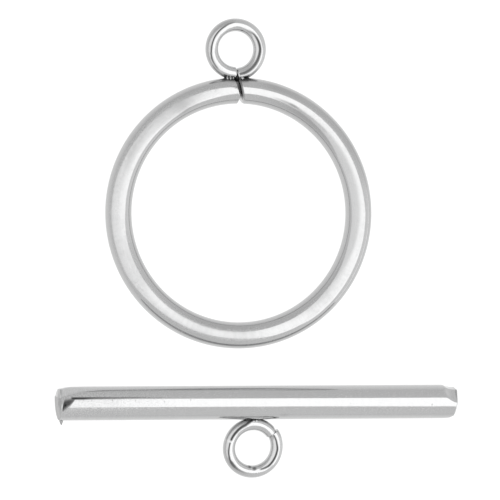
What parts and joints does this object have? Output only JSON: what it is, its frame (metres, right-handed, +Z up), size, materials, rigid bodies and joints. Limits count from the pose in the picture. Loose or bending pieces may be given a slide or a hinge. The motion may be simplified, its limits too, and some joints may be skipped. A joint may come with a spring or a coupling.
{
  "type": "toggle clasp",
  "caption": "Toggle clasp of round wire: a ring and a straight bar, each with a small welded loop. The bar passes through the ring endwise, then lies across it and holds.",
  "frame": {"origin": "on the surface that the clasp lies on, under the middle of its overall width and length", "axes": "+X along the bar, +Y from the bar's half to the ring's half, +Z up from the surface"},
  "size_m": [0.0238, 0.0268, 0.0019],
  "materials": {
    "bright_steel": "bright tumbled, mirror-like with fine scratches, darkened at the welds"
  },
  "bodies": {
    "root": {"toggle_ring": "bright_steel", "toggle_bar": "bright_steel"}
  },
  "joints": []
}
